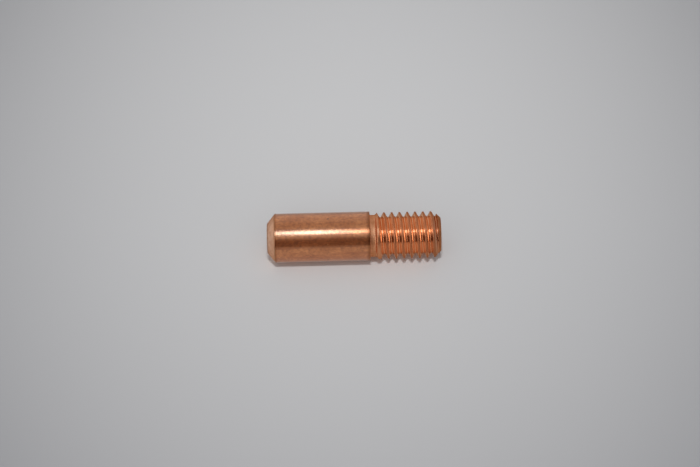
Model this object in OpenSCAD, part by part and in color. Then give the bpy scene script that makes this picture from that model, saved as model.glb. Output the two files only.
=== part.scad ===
// Welding contact tip: one turned copper piece with a rolled thread and a bore for the wire.
// It stands on its threaded end, with its axis along +Z and the nose on top.
// Lengths are in millimetres and angles in degrees.

/* [Body] */
// Length from the threaded end to the nose face
overall_length = 22.3; // [18:0.1:32]
// Diameter of the drawn bar that the body keeps
body_d = 6.3; // [6.2:0.1:9]
// Width of the broken edge round the shoulder
shoulder_break = 0.1; // [0.05:0.05:0.15]

/* [Nose] */
// Diameter of the flat nose face
nose_face_d = 3.8; // [2.4:0.1:5]
// Length of the nose cone along the axis
nose_length = 1; // [0.4:0.05:3]

/* [Thread] */
// Length from the threaded end to the shoulder
thread_length = 9.1; // [6.5:0.1:13]
// Diameter over the thread's crests
thread_d = 6; // [5.8:0.05:6.1]
// Distance from one crest to the next
thread_pitch = 1; // [0.8:0.05:1.2]
// Angle round the axis at which the groove runs out
runout_angle = 180; // [0:5:355]
// Diameter of the flat at the threaded end
end_face_d = 4.3; // [3.2:0.1:5]
// Diameter of the plain neck under the shoulder
neck_d = 5.4; // [5.2:0.05:5.6]
// Length of the plain neck
neck_length = 0.65; // [0.4:0.05:1.6]

/* [Wire passage] */
// Diameter of the welding wire
wire_d = 0.8; // [0.6:0.1:1.2]
// Play of the wire in its bore, across the diameter
wire_play = 0.2; // [0.1:0.05:0.4]
// Mouth diameter of the lead-in cone at the threaded end
lead_in_d = 2; // [1.8:0.1:2.6]
// Full angle of the lead-in cone
lead_in_angle = 60; // [40:5:120]
// Width of the broken edge round the wire's exit
exit_break = 0.1; // [0.05:0.05:0.3]

/* [Hidden] */

copper_colour = [0.72, 0.45, 0.32];
round_steps = 120;

// Heights along the axis
shoulder_z = thread_length;
neck_z = shoulder_z - neck_length;
crest_end_z = neck_z - (thread_d - neck_d) / 2;
lead_chamfer = (thread_d - end_face_d) / 2;
nose_z = overall_length - nose_length;

// Metric thread form: flanks at 60 degrees, a crest flat of an eighth of the pitch,
// and a depth of 17/24 of the sharp triangle's height
flank_angle = 30;
crest_share = 1 / 8;
depth_share = 17 / 24;
sharp_height = thread_pitch / (2 * tan(flank_angle));
thread_depth = depth_share * sharp_height;
crest_r = thread_d / 2;
root_r = crest_r - thread_depth;
neck_r = neck_d / 2;
groove_half_w = thread_pitch * (1 - crest_share) / 2;
root_half_w = groove_half_w - thread_depth * tan(flank_angle);

// The groove is swept from a turn below the threaded end up to the neck. Its section stands
// proud of the crests, and over the run-out it rises until it is clear of the neck.
steps_per_turn = 36;
turns_below_end = 1;
runout_turns = 0.5;
runout_share = 1 / 5;
groove_proud = 0.06;
groove_rise = neck_r - root_r + groove_proud;
groove_end_z = neck_z - runout_share * thread_pitch;
groove_turns = groove_end_z / thread_pitch + turns_below_end;
groove_steps = ceil(groove_turns * steps_per_turn);

// Wire passage, whose cuts start and end outside the part
bore_d = wire_d + wire_play;
cut_past = 1;
lead_in_slope = tan(lead_in_angle / 2);
lead_in_depth = (lead_in_d - bore_d) / 2 / lead_in_slope;

// Corners of the groove's section, as radius and height from its middle
groove_section = [
    [crest_r + groove_proud, -groove_half_w - groove_proud * tan(flank_angle)],
    [root_r, -root_half_w],
    [root_r, root_half_w],
    [crest_r + groove_proud, groove_half_w + groove_proud * tan(flank_angle)]
];

// How far the section has risen, from its turns left to the end of the groove
function rise(turns_left) = groove_rise * max(0, 1 - turns_left / runout_turns);

// One ring of the groove's section, a step of the way up the right-hand helix
function groove_ring(step) =
    let (
        turns_left = (groove_steps - step) / steps_per_turn,
        angle = runout_angle - 360 * turns_left,
        z = groove_end_z - thread_pitch * turns_left
    )
    [for (corner = groove_section)
        let (r = corner[0] + rise(turns_left))
        [r * cos(angle), r * sin(angle), z + corner[1]]];

// The bar turned to its outline, before the thread is rolled and the bore is drilled
module turned_blank() {
    rotate_extrude($fn = round_steps)
        polygon([
            [0, 0],
            [end_face_d / 2, 0],
            [crest_r, lead_chamfer],
            [crest_r, crest_end_z],
            [neck_r, neck_z],
            [neck_r, shoulder_z],
            [body_d / 2 - shoulder_break, shoulder_z],
            [body_d / 2, shoulder_z + shoulder_break],
            [body_d / 2, nose_z],
            [nose_face_d / 2, overall_length],
            [0, overall_length]
        ]);
}

// The helical groove that leaves the thread's crests standing
module thread_groove() {
    corners = len(groove_section);
    points = [for (step = [0:groove_steps]) each groove_ring(step)];
    sides = [for (step = [0:groove_steps - 1], corner = [0:corners - 1])
        let (
            near = step * corners + corner,
            near_next = step * corners + (corner + 1) % corners
        )
        each [
            [near, near + corners, near_next + corners],
            [near, near_next + corners, near_next]
        ]];
    start_cap = [for (corner = [0:corners - 1]) corner];
    end_cap = [for (corner = [corners - 1:-1:0]) groove_steps * corners + corner];
    polyhedron(points, concat(sides, [start_cap, end_cap]));
}

// The bore, its lead-in cone and the broken edge where the wire comes out
module wire_passage() {
    translate([0, 0, -cut_past])
        cylinder(d = bore_d, h = overall_length + 2 * cut_past, $fn = round_steps);
    translate([0, 0, -cut_past])
        cylinder(
            d1 = lead_in_d + 2 * cut_past * lead_in_slope,
            d2 = bore_d,
            h = lead_in_depth + cut_past,
            $fn = round_steps
        );
    translate([0, 0, overall_length - exit_break])
        cylinder(
            d1 = bore_d,
            d2 = bore_d + 2 * (exit_break + cut_past),
            h = exit_break + cut_past,
            $fn = round_steps
        );
}

module contact_tip() {
    color(copper_colour)
        difference() {
            turned_blank();
            thread_groove();
            wire_passage();
        }
}

contact_tip();
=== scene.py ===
# %% [markdown]
# # A welding contact tip in copper
#
# The contact tip is the small copper part at the end of a welding torch. Wire runs through its bore and
# takes its current from it. It is one piece: a drawn bar, turned at both ends, drilled, and then rolled
# between dies to raise the thread. This lesson models that piece the way it is made, step by step.
#
# The imported CAD model comes first. It fixes where everything is and how big it is, so its box is read
# straight away.

# %% Load the frame
import math

import bpy
from mathutils import Matrix, Vector


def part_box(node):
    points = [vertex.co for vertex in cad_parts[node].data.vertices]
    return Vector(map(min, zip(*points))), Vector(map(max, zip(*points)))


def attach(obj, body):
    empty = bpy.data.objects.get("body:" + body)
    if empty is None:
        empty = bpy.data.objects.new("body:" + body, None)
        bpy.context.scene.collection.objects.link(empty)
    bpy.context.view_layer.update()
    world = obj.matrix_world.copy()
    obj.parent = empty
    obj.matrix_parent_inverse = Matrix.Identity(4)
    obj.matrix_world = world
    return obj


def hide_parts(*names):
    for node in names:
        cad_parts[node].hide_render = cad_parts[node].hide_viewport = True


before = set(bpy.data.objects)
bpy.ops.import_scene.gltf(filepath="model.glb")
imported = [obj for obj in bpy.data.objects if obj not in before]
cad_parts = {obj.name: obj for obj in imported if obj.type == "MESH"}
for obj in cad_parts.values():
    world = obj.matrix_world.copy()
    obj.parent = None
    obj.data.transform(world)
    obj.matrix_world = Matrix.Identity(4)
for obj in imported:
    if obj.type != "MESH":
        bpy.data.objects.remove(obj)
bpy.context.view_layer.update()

# %% [markdown]
# ## Sizes
#
# A turned part is drawn as half of its section. The overall length and the body's diameter are read from
# the frame, and the rest are the same sizes that the CAD model has. The modelling is done in millimetres,
# because merging and cutting are safer on numbers near one, and the finished piece is scaled to metres.

# %% Sizes in millimetres
MM = 0.001
low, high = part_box("contact_tip")
LENGTH = (high[2] - low[2]) / MM
BODY_R = min(high[0], high[1]) / MM

NOSE_FACE_R = 1.9
NOSE_Z = LENGTH - 1
SHOULDER_Z = 9.1
NECK_R = 2.7
NECK_Z = SHOULDER_Z - 0.65
END_FACE_R = 2.15

CREST_R = 3.0
PITCH = 1.0
FLANK = math.radians(30)
THREAD_DEPTH = 17 / 24 * PITCH / (2 * math.tan(FLANK))
ROOT_R = CREST_R - THREAD_DEPTH

BORE_R = 0.5
LEAD_IN_R = 1.0
LEAD_IN_DEPTH = (LEAD_IN_R - BORE_R) / math.tan(math.radians(30))

STEPS = 144
print(f"length {LENGTH:.2f}, body radius {BODY_R:.2f}, thread root radius {ROOT_R:.3f}")

# %% [markdown]
# ## The turned bar
#
# On the lathe the bar gets its nose cone, shoulder, neck and end chamfer, and a drill opens the bore. The
# same outline could be spun in one go, or cut from a cylinder. Here a ring of points is extruded along the
# outline and scaled at each corner, as one would do by hand, because that gives clean rows of faces all
# the way round and back through the bore. No turned edge is truly sharp, so each corner gets a small arc.

# %% Round the corners of an outline
ARC_STEPS = 4


def rounded(corners):
    """The closed outline through corners of (radius, height, rounding), with an arc at each corner."""
    points = []
    for i, (r, z, rounding) in enumerate(corners):
        here = Vector((r, z))
        before = (Vector(corners[i - 1][:2]) - here).normalized()
        after = (Vector(corners[(i + 1) % len(corners)][:2]) - here).normalized()
        half = before.angle(after) / 2
        middle = here + (before + after).normalized() * rounding / math.sin(half)
        start = here + before * rounding / math.tan(half) - middle
        turn_by = start.angle_signed(here + after * rounding / math.tan(half) - middle)
        for step in range(ARC_STEPS + 1):
            points.append(middle + Matrix.Rotation(-turn_by * step / ARC_STEPS, 2) @ start)
    return points


tip_outline = rounded([
    (LEAD_IN_R, 0, 0.06),
    (END_FACE_R, 0, 0.08),
    (CREST_R, CREST_R - END_FACE_R, 0.05),
    (CREST_R, NECK_Z - (CREST_R - NECK_R), 0.05),
    (NECK_R, NECK_Z, 0.15),
    (NECK_R, SHOULDER_Z, 0.08),
    (BODY_R, SHOULDER_Z, 0.09),
    (BODY_R, NOSE_Z, 0.06),
    (NOSE_FACE_R, LENGTH, 0.08),
    (BORE_R, LENGTH, 0.1),
    (BORE_R, LEAD_IN_DEPTH, 0.3),
])
print("outline points:", len(tip_outline))

# %% Extrude a ring along the outline


def select_only(obj):
    """Makes obj the one selected and active object."""
    bpy.ops.object.select_all(action="DESELECT")
    obj.select_set(True)
    bpy.context.view_layer.objects.active = obj


def turn(name, outline):
    """A turned solid whose section is the closed outline of (radius, height) points."""
    bpy.ops.object.select_all(action="DESELECT")
    first = outline[0]
    bpy.ops.mesh.primitive_circle_add(vertices=STEPS, radius=first.x, location=(0, 0, first.y))
    bpy.ops.object.mode_set(mode="EDIT")
    for here, there in zip(outline, outline[1:] + outline[:1]):
        bpy.ops.mesh.extrude_edges_move(TRANSFORM_OT_translate={"value": (0, 0, there.y - here.y)})
        grow = there.x / here.x
        bpy.ops.transform.resize(value=(grow, grow, 1), center_override=(0, 0, there.y))
    bpy.ops.mesh.select_all(action="SELECT")
    bpy.ops.mesh.remove_doubles(threshold=0.001)
    bpy.ops.mesh.normals_make_consistent(inside=False)
    bpy.ops.object.mode_set(mode="OBJECT")
    obj = bpy.context.active_object
    obj.name = obj.data.name = name
    bpy.ops.object.transform_apply(location=True, rotation=True, scale=True)
    return obj


tip = turn("tip", tip_outline)
print("turned bar:", len(tip.data.polygons), "faces")

# %% [markdown]
# ## The rolled thread
#
# The thread is a right-hand metric one, so its form follows from the pitch: flanks at 60 degrees, a root
# rounded to a sixth of the sharp triangle's height, and narrow crests. One section of the groove is swept
# up the axis by a Screw modifier and taken out of the bar by a Boolean. The sweep has as many steps to a
# turn as the bar has, so the cuts meet the bar's own edges and leave even faces.
#
# Rolling dies leave the bar gradually. Over the last seven eighths of a turn the groove rises at an even
# rate, first clear of the neck and then of the crests, so it fades out and has no blunt end.

# %% Section of the groove
RUNOUT_ANGLE = math.radians(315)
RUNOUT_STEPS = STEPS * 7 // 8
GROOVE_END_Z = NECK_Z + 0.175
GROOVE_TURNS = math.ceil(GROOVE_END_Z / PITCH) + 1
GROOVE_RISE = CREST_R - ROOT_R + 0.04

GROOVE_HALF_W = PITCH * 7 / 16
ROOT_ROUND = PITCH / (2 * math.tan(FLANK)) / 6
CREST_BREAK = 0.03
CREST_PROUD = 0.02
BREAK_SLOPE = math.tan(math.radians(60))


def groove_side():
    """One side of the groove's section as (radius, height) points, from its root out past the crest."""
    side = []
    for degrees in (0, 20, 40, 60):
        angle = math.radians(degrees)
        side.append((ROOT_R + ROOT_ROUND * (1 - math.cos(angle)), ROOT_ROUND * math.sin(angle)))
    flank_top = GROOVE_HALF_W - CREST_BREAK * math.tan(FLANK)
    side.append((CREST_R - CREST_BREAK, flank_top))
    side.append((CREST_R + CREST_PROUD, flank_top + (CREST_BREAK + CREST_PROUD) * BREAK_SLOPE))
    return side


upper_side = groove_side()
groove_section = [(r, -z) for r, z in reversed(upper_side[1:])] + upper_side
print("groove section points:", len(groove_section))

# %% Sweep the groove


def swept_groove():
    """The cutter: the groove's section swept up the right-hand helix and raised over the run-out."""
    bpy.ops.object.select_all(action="DESELECT")
    bpy.ops.mesh.primitive_circle_add(vertices=len(groove_section), radius=1)
    groove = bpy.context.active_object
    start_z = GROOVE_END_Z - GROOVE_TURNS * PITCH
    for vertex, (r, z) in zip(groove.data.vertices, groove_section):
        vertex.co = (r * math.cos(RUNOUT_ANGLE), r * math.sin(RUNOUT_ANGLE), start_z + z)

    screw = groove.modifiers.new("helix", "SCREW")
    screw.angle = math.radians(360)
    screw.screw_offset = PITCH
    screw.iterations = GROOVE_TURNS
    screw.steps = screw.render_steps = STEPS
    bpy.ops.object.modifier_apply(modifier=screw.name)

    last_ring = len(groove.data.vertices) // len(groove_section) - 1
    for vertex in groove.data.vertices:
        left = last_ring - vertex.index // len(groove_section)
        if left < RUNOUT_STEPS:
            outward = Vector((vertex.co.x, vertex.co.y, 0)).normalized()
            vertex.co += outward * GROOVE_RISE * (1 - left / RUNOUT_STEPS)

    bpy.ops.object.mode_set(mode="EDIT")
    bpy.ops.mesh.select_all(action="DESELECT")
    bpy.ops.mesh.select_mode(type="EDGE")
    bpy.ops.mesh.select_non_manifold()
    bpy.ops.mesh.fill_holes(sides=0)
    bpy.ops.mesh.select_all(action="SELECT")
    bpy.ops.mesh.normals_make_consistent(inside=False)
    bpy.ops.object.mode_set(mode="OBJECT")
    return groove


groove = swept_groove()
print("groove cutter:", len(groove.data.polygons), "faces")

# %% Cut the thread
select_only(tip)
cut = tip.modifiers.new("thread", "BOOLEAN")
cut.operation = "DIFFERENCE"
cut.solver = "EXACT"
cut.object = groove
bpy.ops.object.modifier_apply(modifier=cut.name)
bpy.data.objects.remove(groove)

tip.scale = (MM, MM, MM)
bpy.ops.object.transform_apply(location=False, rotation=False, scale=True)
bpy.ops.object.shade_smooth_by_angle(angle=math.radians(40))
print("threaded tip:", len(tip.data.polygons), "faces")

# %% [markdown]
# ## Writing shader sums in Python
#
# A finish is a small sum: some noise times an amount, plus a base value. Wiring Math nodes by hand hides
# that sum, so one class wraps a socket and lets Python's operators add the nodes. Every other kind of node
# comes from its add method, which takes the tree, the type, the settings and the values of the sockets, or
# from its node method, which adds to the tree that the socket is in.

# %% A socket that can be added and multiplied


class Wire:
    """An output socket in a node tree. Operators on it add Math nodes."""

    def __init__(self, socket):
        self.socket = socket

    @classmethod
    def add(cls, tree, kind, settings=None, sockets=None, output=0):
        """A new node in a tree, as a Wire from one of its outputs."""
        made = tree.nodes.new(kind)
        for name, value in (settings or {}).items():
            setattr(made, name, value)
        for name, value in (sockets or {}).items():
            if isinstance(value, Wire):
                tree.links.new(value.socket, made.inputs[name])
            else:
                made.inputs[name].default_value = value
        return cls(made.outputs[output])

    def node(self, kind, settings=None, sockets=None, output=0):
        """A new node in the same tree, as a Wire from one of its outputs."""
        return self.add(self.socket.id_data, kind, settings, sockets, output)

    def feed(self, socket):
        """Links this value to an input socket."""
        self.socket.id_data.links.new(self.socket, socket)

    def math(self, operation, *others):
        """A Math node on this value and the others."""
        return self.node("ShaderNodeMath", {"operation": operation}, dict(enumerate((self, *others))))

    def __add__(self, other):
        return self.math("ADD", other)

    def __radd__(self, other):
        return self.math("ADD", other)

    def __sub__(self, other):
        return self.math("SUBTRACT", other)

    def __rsub__(self, other):
        return self.math("MULTIPLY_ADD", -1, other)

    def __mul__(self, other):
        return self.math("MULTIPLY", other)

    def __rmul__(self, other):
        return self.math("MULTIPLY", other)

    def between(self, start, end):
        """0 below start, 1 above end, and a smooth step between them."""
        return self.node(
            "ShaderNodeMapRange",
            {"interpolation_type": "SMOOTHSTEP"},
            {"Value": self, "From Min": start, "From Max": end},
        )

    def tint(self, first, second):
        """A colour that goes from first to second as this value goes from 0 to 1."""
        return self.node(
            "ShaderNodeMix", {"data_type": "RGBA"}, {"Factor": self, 6: first, 7: second}, output=2
        )


# %% [markdown]
# ## Copper in five finishes
#
# The same copper looks different where it was made differently. Five small materials could share one node
# group, but each is a few lines long and easier to read by itself, so only what they have in common is
# kept in a class: the metal, its place in millimetres, and the noises that a finish is mixed from.
#
# Every pattern is placed by Object coordinates in millimetres, and by the radius and height that come from
# them, so it stays where it is on the metal.

# %% Start a copper finish


class Copper:
    """A copper finish in the making: a material, and the places that its patterns are drawn by."""

    def __init__(self, name):
        self.material = bpy.data.materials.new(name)
        self.material.use_nodes = True
        self.tree = self.material.node_tree
        self.shader = self.tree.nodes["Principled BSDF"]
        self.shader.inputs["Metallic"].default_value = 1
        self.shader.inputs["Coat Roughness"].default_value = 0.22
        self.shader.inputs["Coat IOR"].default_value = 1.7
        self.shader.inputs["Specular Tint"].default_value = (0.70, 0.52, 0.42, 1)
        metres = Wire.add(self.tree, "ShaderNodeTexCoord", output="Object")
        self.place = metres.node("ShaderNodeVectorMath", {"operation": "SCALE"}, {0: metres, "Scale": 1 / MM})
        split = self.place.node("ShaderNodeSeparateXYZ", None, {0: self.place}).socket.node
        x, y, self.z = (Wire(output) for output in split.outputs)
        self.radius = (x * x + y * y).math("SQRT")

    def noise(self, scale, along=1.0, detail=3, roughness=0.5):
        """Noise from 0 to 1, with its grain drawn out along the axis where along is below 1."""
        drawn = self.place.node(
            "ShaderNodeVectorMath", {"operation": "MULTIPLY"}, {0: self.place, 1: (1, 1, along)}
        )
        return self.place.node(
            "ShaderNodeTexNoise",
            None,
            {"Vector": drawn, "Scale": scale, "Detail": detail, "Roughness": roughness},
        )

    def rings(self, position, scale):
        """Uneven rings that follow a position, as a cutting tool leaves them."""
        return self.place.node(
            "ShaderNodeTexNoise",
            {"noise_dimensions": "1D"},
            {"W": position, "Scale": scale, "Detail": 3, "Roughness": 0.6},
        )

    def specks(self, scale, size):
        """1 in sparse round specks of a size in millimetres, and 0 elsewhere."""
        distance = self.place.node("ShaderNodeTexVoronoi", None, {"Vector": self.place, "Scale": scale})
        return 1 - distance.between(0.4 * size * scale, size * scale)

    def finish(self, colour, roughness, relief, depth, film=None):
        """The wired material. Relief from 0 to 1 rises by a depth in millimetres, and film is a coat."""
        colour.feed(self.shader.inputs["Base Color"])
        roughness.feed(self.shader.inputs["Roughness"])
        if film is not None:
            film.feed(self.shader.inputs["Coat Weight"])
        bump = relief.node("ShaderNodeBump", None, {"Height": relief, "Distance": depth * MM})
        bump.feed(self.shader.inputs["Normal"])
        print(self.material.name, "has", len(self.tree.nodes), "nodes")
        return self.material


# %% [markdown]
# ### The drawn bar
#
# The body keeps the skin that the bar got when it was drawn through its die: satin and brownish, with faint
# lines along the axis, a fine grain and a few dark specks. A plain rough copper looks like a casting. So
# the noises are drawn out along the axis, and a coat stands for the thin film of oil on the metal,
# whose pale gloss lies over the copper's own. Both edges of the body are darker and their film is worn
# thin. At the shoulder the darker edge is painted shade.

# %% Drawn bar


def drawn_bar():
    """The satin skin of the drawn bar, on the body, with a film of drawing oil."""
    copper = Copper("drawn_bar")
    lines = copper.noise(9, along=0.02, detail=5, roughness=0.65)
    bands = copper.noise(1.6, along=0.06, detail=2)
    mottle = copper.noise(0.8, along=0.5, detail=5, roughness=0.65)
    blotches = copper.noise(2.4, along=0.7, detail=4, roughness=0.6)
    grain = copper.noise(3.6, along=0.7, detail=3)
    specks = copper.specks(0.55, 0.18)
    front_edge = copper.z.between(NOSE_Z - 0.32, NOSE_Z - 0.06)
    # The body's edge at the shoulder: painted shade in the colour, and the film worn thin.
    shoulder_shade_and_wear = 1 - copper.z.between(SHOULDER_Z + 0.12, SHOULDER_Z + 0.55)

    colour = mottle.between(0.32, 0.68).tint((0.63, 0.205, 0.057, 1), (0.83, 0.31, 0.102, 1))
    colour = (lines.between(0.4, 0.7) * 0.30).tint(colour, (0.82, 0.35, 0.14, 1))
    colour = (blotches.between(0.45, 0.70) * 0.42).tint(colour, (0.40, 0.11, 0.035, 1))
    colour = (grain.between(0.40, 0.66) * 0.46).tint(colour, (0.34, 0.10, 0.034, 1))
    colour = (bands.between(0.50, 0.70) * 0.40).tint(colour, (0.42, 0.12, 0.040, 1))
    colour = (front_edge * 0.60).tint(colour, (0.34, 0.11, 0.035, 1))
    # Painted shade along the body's edge at the shoulder.
    colour = (shoulder_shade_and_wear * 0.65).tint(colour, (0.26, 0.08, 0.02, 1))
    colour = (specks * 0.7).tint(colour, (0.14, 0.06, 0.04, 1))
    roughness = 0.18 + lines * 0.06 + grain * 0.05 + specks * 0.15
    relief = lines * 0.75 + grain * 0.15 + mottle * 0.10
    return copper.finish(colour, roughness, relief, 0.0025, film=1 - front_edge * 0.5 - shoulder_shade_and_wear * 0.5)


body_skin = drawn_bar()

# %% [markdown]
# ### Turned faces
#
# The nose was cut last and lightly, so its cone is the palest copper on the part, with fine rings, and it
# is darker along its rim and its base. The neck, the end chamfer and the lead-in were cut with a coarser
# feed before the rolling. They are rougher, and the chamfer has darkened too.

# %% Turned nose


def turned_nose():
    """Pale turned copper on the nose cone and its face, darkened along the two edges of the cone."""
    copper = Copper("turned_nose")
    rings = copper.rings(copper.radius, 9)
    stain = copper.noise(1.5, detail=4, roughness=0.6)
    past_rim = copper.radius.between(NOSE_FACE_R + 0.05, NOSE_FACE_R + 0.28)
    rim = copper.radius.between(NOSE_FACE_R - 0.15, NOSE_FACE_R) * (1 - past_rim)
    base = copper.radius.between(BODY_R - 0.20, BODY_R - 0.05)
    outer = copper.radius.between(NOSE_FACE_R + 0.3, BODY_R - 0.2)

    colour = stain.between(0.35, 0.7).tint((0.90, 0.56, 0.39, 1), (0.70, 0.35, 0.22, 1))
    colour = (rings.between(0.35, 0.65) * 0.3).tint(colour, (0.94, 0.64, 0.47, 1))
    colour = (outer * 0.45).tint(colour, (0.90, 0.48, 0.28, 1))
    colour = (rim * 0.55).tint(colour, (0.30, 0.15, 0.10, 1))
    colour = (base * 0.50).tint(colour, (0.28, 0.13, 0.06, 1))
    roughness = 0.22 + rings * 0.12 + stain * 0.06
    return copper.finish(colour, roughness, rings, 0.008)


nose_skin = turned_nose()

# %% Turned shank


def turned_shank():
    """Coarsely turned copper on the neck and the shoulder, darker on the chamfer and the end face."""
    copper = Copper("turned_shank")
    rings = copper.rings(copper.radius + copper.z, 5)
    stain = copper.noise(1.5, detail=4, roughness=0.6)
    chatter = copper.noise(6, detail=2)
    at_end = 1 - copper.z.between(1.0, 2.0)

    neck = stain.between(0.35, 0.7).tint((0.84, 0.39, 0.20, 1), (0.64, 0.26, 0.11, 1))
    end = stain.between(0.35, 0.7).tint((0.56, 0.22, 0.10, 1), (0.38, 0.14, 0.06, 1))
    colour = at_end.tint(neck, end)
    colour = (rings.between(0.35, 0.65) * 0.3).tint(colour, (0.60, 0.26, 0.13, 1))
    roughness = 0.42 - at_end * 0.08 + rings * 0.12 + stain * 0.06
    return copper.finish(colour, roughness, rings * 0.5 + chatter * 0.5, 0.026)


shank_skin = turned_shank()

# %% [markdown]
# ### The rolled thread
#
# Rolling dies press hardest in the grooves and burnish them, while the crests are squeezed up freely and
# keep the dull brown skin of the bar. Light also bounces from flank to flank, and copper reddens it each
# time. So the grooves are bright copper that the bounces redden, and their roots are also painted redder
# and darker, as painted shade. The crests are painted darker, by their distance from the axis. At the neck,
# where the dies let go, the copper is uneven, and the turn at the other end is darker and duller. The
# drilled bore is dull all over.

# %% Rolled thread


def rolled_thread():
    """Copper that the dies burnished in the grooves, with the dull skin of the bar left on the crests."""
    copper = Copper("rolled_thread")
    smear = copper.noise(2.6, detail=4, roughness=0.6)
    ripple = copper.noise(7, detail=2)
    root_painted_shade = 1 - copper.radius.between(ROOT_R + 0.04, ROOT_R + 0.16)
    on_crest = (copper.radius + smear * 0.06).between(CREST_R - 0.14, CREST_R - 0.01)
    runout = copper.z.between(NECK_Z - 1.0, NECK_Z - 0.5)
    on_crest = on_crest * (1 - 0.6 * runout)
    first_turn = 1 - (copper.z + smear * 0.5).between(1.0, 1.9)

    colour = smear.between(0.3, 0.7).tint((0.94, 0.50, 0.30, 1), (0.98, 0.60, 0.40, 1))
    # Painted shade in the roots: the copper there is painted redder and darker.
    colour = root_painted_shade.tint(colour, (0.94, 0.42, 0.21, 1))
    colour = (on_crest * 0.85).tint(colour, (0.48, 0.135, 0.042, 1))
    colour = (runout * 0.6).tint(colour, (0.70, 0.26, 0.10, 1))
    colour = (first_turn * 0.65).tint(colour, (0.46, 0.17, 0.08, 1))
    roughness = 0.10 + smear * 0.12 + on_crest * 0.25 + first_turn * 0.10 + runout * 0.10
    return copper.finish(colour, roughness, smear * 0.5 + ripple * (0.5 + runout * 1.8), 0.006)


thread_skin = rolled_thread()

# %% Drilled bore


def drilled_bore():
    """Dull copper inside the bore."""
    copper = Copper("drilled_bore")
    tear = copper.noise(12, along=0.4)
    colour = tear.tint((0.45, 0.22, 0.13, 1), (0.65, 0.36, 0.24, 1))
    return copper.finish(colour, 0.35 + tear * 0.15, tear, 0.008)


bore_skin = drilled_bore()

# %% [markdown]
# ## Where each finish goes
#
# The finishes meet at turned edges, so a face's height and distance from the axis say which one it has.

# %% Give each face its finish
finishes = [body_skin, nose_skin, shank_skin, thread_skin, bore_skin]
for material in finishes:
    tip.data.materials.append(material)
BODY, NOSE, SHANK, THREAD, BORE = range(len(finishes))

BORE_EDGE_R = 1.2 * BORE_R
EDGE_SLACK = 0.02
CHAMFER_SLACK = 0.03


def finish_of(face):
    """The slot of the finish on this face."""
    r = math.hypot(face.center.x, face.center.y) / MM
    z = face.center.z / MM
    if r < BORE_EDGE_R:
        return BORE
    if z > NOSE_Z:
        return NOSE
    if z > SHOULDER_Z + EDGE_SLACK:
        return BODY
    on_neck = z > NECK_Z and r > NECK_R - EDGE_SLACK
    on_chamfer = z < r - END_FACE_R + CHAMFER_SLACK
    on_end = r < END_FACE_R
    return SHANK if on_neck or on_chamfer or on_end else THREAD


for face in tip.data.polygons:
    face.material_index = finish_of(face)
for slot, material in enumerate(finishes):
    print(material.name, "is on", sum(face.material_index == slot for face in tip.data.polygons), "faces")

# %% Put the tip in the frame
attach(tip, "root")
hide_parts("contact_tip")
print("the tip rides on root and stands for contact_tip")

# %% [markdown]
# ## The table and the camera
#
# The tip stands on its threaded end in the model's own frame, but a photograph shows it lying on a pale
# table. So the table is turned instead: it is a plane that touches the body's side, and the camera is
# rolled a quarter turn with it. Up from the table is TABLE_UP, towards its front edge is TABLE_NEAR, and
# the tip's own axis runs along the table. The plane shows only its front, so that a look from behind sees
# the tip and not the back of the table.

# %% Directions on the table
TABLE_AZIMUTH = math.radians(45)
VIEW_ABOVE_TABLE = math.radians(45)
TABLE_UP = Vector((math.sin(TABLE_AZIMUTH), -math.cos(TABLE_AZIMUTH), 0))
TO_NOSE = Vector((0, 0, 1))
TABLE_NEAR = TABLE_UP.cross(TO_NOSE)
CENTRE = Vector((0, 0, LENGTH * MM / 2))


def on_table(up, near, to_nose=0.0):
    """A point given in millimetres from the tip's centre, by the table's directions."""
    return CENTRE + (TABLE_UP * up + TABLE_NEAR * near + TO_NOSE * to_nose) * MM


# %% Pale table
TABLE_SIZE = 3000
# The pool of light painted on the table: its colours, size, falloff and centre.
TABLE_PAINTED_LIT = (0.75, 0.75, 0.75, 1)
TABLE_PAINTED_DIM = (0.40, 0.40, 0.41, 1)
PAINTED_LIGHT_RADIUS = 63
PAINTED_LIGHT_FALLOFF = 1.9
PAINTED_LIGHT_CENTRE_NEAR = -31
TABLE_GLOW = (0.46, 0.445, 0.43, 1)
GLOW_SHARE = 0.5


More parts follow.
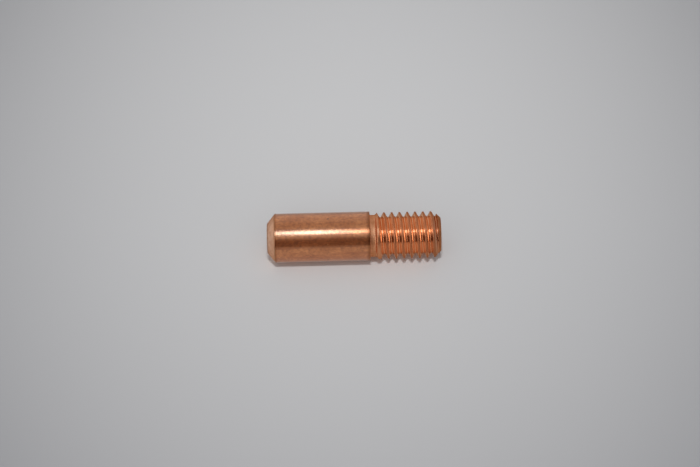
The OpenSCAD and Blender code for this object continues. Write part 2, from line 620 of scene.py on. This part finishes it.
def pale_table():
    """A smooth matt plane that touches the body's side, shows only its front, and has a painted pool of
    light:
    its colour is paler around the plane's centre and dimmer away from it.

    In the metal's gloss it glows a little, so that the body's own shadow doesn't blacken its underside.
    """
    bpy.ops.object.select_all(action="DESELECT")
    bpy.ops.mesh.primitive_plane_add(size=TABLE_SIZE * MM)
    table = bpy.context.active_object
    table.name = "table"
    table.rotation_mode = "QUATERNION"
    table.rotation_quaternion = TABLE_UP.to_track_quat("Z", "Y")
    table.location = on_table(-BODY_R, PAINTED_LIGHT_CENTRE_NEAR)
    paper = bpy.data.materials.new("table_paper")
    paper.use_nodes = True
    tree = paper.node_tree
    matt = tree.nodes["Principled BSDF"]
    matt.inputs["Roughness"].default_value = 0.9
    place = Wire.add(tree, "ShaderNodeTexCoord", output="Object")
    squeezed = place.node(
        "ShaderNodeVectorMath",
        {"operation": "MULTIPLY"},
        {0: place, 1: (math.sin(VIEW_ABOVE_TABLE) / (PAINTED_LIGHT_RADIUS * MM), 1 / (PAINTED_LIGHT_RADIUS * MM), 0)},
    )
    away = place.node("ShaderNodeVectorMath", {"operation": "LENGTH"}, {0: squeezed}, output="Value")
    # Painted light: the table's colour is paler around the plane's centre and dimmer away from it.
    painted_falloff = away.math("POWER", PAINTED_LIGHT_FALLOFF).math("MINIMUM", 1.0)
    painted_falloff.tint(TABLE_PAINTED_LIT, TABLE_PAINTED_DIM).feed(matt.inputs["Base Color"])

    in_gloss = Wire.add(tree, "ShaderNodeLightPath", output="Is Glossy Ray")
    glow = Wire.add(tree, "ShaderNodeEmission", None, {"Color": TABLE_GLOW})
    sides = {0: in_gloss * GLOW_SHARE, 1: Wire(matt.outputs[0]), 2: glow}
    front = Wire.add(tree, "ShaderNodeMixShader", None, sides)

    behind = Wire.add(tree, "ShaderNodeNewGeometry", output="Backfacing")
    clear = Wire.add(tree, "ShaderNodeBsdfTransparent")
    either = Wire.add(tree, "ShaderNodeMixShader", None, {0: behind, 1: front, 2: clear})
    either.feed(tree.nodes["Material Output"].inputs["Surface"])
    table.data.materials.append(paper)
    return table


table = pale_table()
print("table centre in mm:", [round(v / MM, 1) for v in table.location])

# %% Camera as in the photograph
PHOTO_WIDTH, PHOTO_HEIGHT = 700, 467
TIP_X, TIP_Y = 354.05, 236.3
PIXELS_PER_MM = 7.77
THREAD_END_RISES = math.radians(1.4)
CAMERA_DISTANCE = 240


def photo_camera():
    """The camera that sees the tip as the photograph does."""
    back = TABLE_NEAR * math.cos(VIEW_ABOVE_TABLE) + TABLE_UP * math.sin(VIEW_ABOVE_TABLE)
    to_thread = -TO_NOSE
    away = back.cross(to_thread)
    right = to_thread * math.cos(THREAD_END_RISES) - away * math.sin(THREAD_END_RISES)
    up = to_thread * math.sin(THREAD_END_RISES) + away * math.cos(THREAD_END_RISES)
    data = bpy.data.cameras.new("photo_camera")
    data.lens = data.sensor_width * PIXELS_PER_MM * CAMERA_DISTANCE / PHOTO_WIDTH
    data.clip_start, data.clip_end = 10 * MM, 10000 * MM
    camera = bpy.data.objects.new("photo_camera", data)
    bpy.context.scene.collection.objects.link(camera)
    aside = (TIP_X - PHOTO_WIDTH / 2) / PIXELS_PER_MM
    below = (TIP_Y - PHOTO_HEIGHT / 2) / PIXELS_PER_MM
    place = CENTRE + (back * CAMERA_DISTANCE - right * aside + up * below) * MM
    camera.matrix_world = Matrix.Translation(place) @ Matrix((right, up, back)).transposed().to_4x4()
    bpy.context.scene.camera = camera
    return camera


camera = photo_camera()
print(f"lens {camera.data.lens:.1f} mm")

# %% [markdown]
# ## Light
#
# Metal shows what it reflects, and a matt table shows what shines on it. The photograph has a crisp thin
# shadow under the part, from a small lamp high in front of the table, and a broad bright band along the
# body, from the same lamp's pale shade. One lamp could hardly be tuned for both, so three hang at the same
# height: a small one lights the table, and two panes of the shade are seen only in the gloss. The brighter
# pane is mirrored by the body, and the dimmer one beside it by the thread.

# %% Three lamps at one height


def strip_light(name, place, width, length, watts):
    """A rectangular light at a place, facing the tip, with its length along the tip's axis."""
    data = bpy.data.lights.new(name, "AREA")
    data.shape = "RECTANGLE"
    data.size, data.size_y = width * MM, length * MM
    data.energy = watts
    light = bpy.data.objects.new(name, data)
    bpy.context.scene.collection.objects.link(light)
    light.location = place
    light.rotation_mode = "QUATERNION"
    light.rotation_quaternion = (CENTRE - place).to_track_quat("-Z", "Y")
    return light


LAMP_DISTANCE = 400
LAMP_ABOVE_TABLE = math.radians(67)
SHADE_ABOVE_TABLE = math.radians(68)
COOL_SHADE = (0.60, 1.0, 1.5)


def lamp_place(above_table, to_nose=0.0):
    """A place at the lamps' distance, at an angle above the table and off to the nose's side."""
    return on_table(LAMP_DISTANCE * math.sin(above_table), LAMP_DISTANCE * math.cos(above_table), to_nose)


table_lamp = strip_light("table_lamp", lamp_place(LAMP_ABOVE_TABLE), width=30, length=40, watts=0.62)
table_lamp.visible_glossy = False
body_place = lamp_place(SHADE_ABOVE_TABLE, to_nose=15)
body_lamp = strip_light("body_gloss_lamp", body_place, width=104, length=110, watts=0.196)
body_lamp.data.color = COOL_SHADE
body_lamp.visible_diffuse = False
thread_place = lamp_place(SHADE_ABOVE_TABLE, to_nose=-90)
thread_lamp = strip_light("thread_gloss_lamp", thread_place, width=104, length=100, watts=0.074)
thread_lamp.visible_diffuse = False
for lamp in (table_lamp, body_lamp, thread_lamp):
    print(lamp.name, "in mm:", [round(v / MM) for v in lamp.location])

# %% [markdown]
# ## The room
#
# The table's light comes mostly from the front, where a room has its windows, so the shadow isn't black.
# In the gloss the room is pale grey, dimmer overhead and bright past the nose. Low in front it is warm and
# dark, because the camera stands there, which draws the dark band along the body. It is darkest to both
# sides. Past that, on the nose's side, a bright patch lights one flank of each thread and not the other.

# %% Room


def room(fill, front, walls, far_wall, ceiling, window, patch, dark, deep):
    """A room that lights the table from the front, and has walls, a window and a dark side in the gloss."""
    world = bpy.data.worlds.new("room")
    bpy.context.scene.world = world
    world.use_nodes = True
    tree = world.node_tree
    direction = Wire.add(tree, "ShaderNodeTexCoord", output="Generated")

    def facing(axis):
        """How far the direction faces along an axis, from -1 to 1."""
        return direction.node(
            "ShaderNodeVectorMath", {"operation": "DOT_PRODUCT"}, {0: direction, 1: axis}, output="Value"
        )

    up, near, nose = facing(TABLE_UP), facing(TABLE_NEAR), facing(TO_NOSE)
    low = 1 - up.between(math.sin(math.radians(33)), math.sin(math.radians(50)))
    dark_side = low * near.between(0.0, 0.3) * (1 - nose.between(0.38, 0.50))
    beside = near.between(0.3, 0.55) * nose.between(0.42, 0.55) * (1 - nose.between(0.75, 0.9))
    straight = nose.between(-0.35, -0.1) * (1 - nose.between(0.12, 0.3))

    gloss = near.between(-0.95, -0.65).tint(far_wall, walls)
    gloss = up.between(0.75, 0.97).tint(gloss, ceiling)
    gloss = nose.between(0.3, 0.8).tint(gloss, window)
    gloss = beside.tint(gloss, patch)
    gloss = dark_side.tint(gloss, straight.tint(deep, dark))
    light = near.between(0.15, 0.65).tint(fill, front)
    in_gloss = Wire.add(tree, "ShaderNodeLightPath", output="Is Glossy Ray")
    in_gloss.tint(light, gloss).feed(tree.nodes["Background"].inputs["Color"])
    print("room has", len(tree.nodes), "nodes")


room(
    fill=(0.27, 0.27, 0.28, 1),
    front=(0.74, 0.74, 0.75, 1),
    walls=(0.54, 0.54, 0.55, 1),
    far_wall=(0.60, 0.61, 0.63, 1),
    ceiling=(0.47, 0.44, 0.41, 1),
    window=(0.85, 0.85, 0.85, 1),
    patch=(2.6, 2.65, 2.7, 1),
    dark=(0.21, 0.14, 0.10, 1),
    deep=(0.06, 0.04, 0.03, 1),
)
bpy.context.scene.view_settings.view_transform = "Standard"
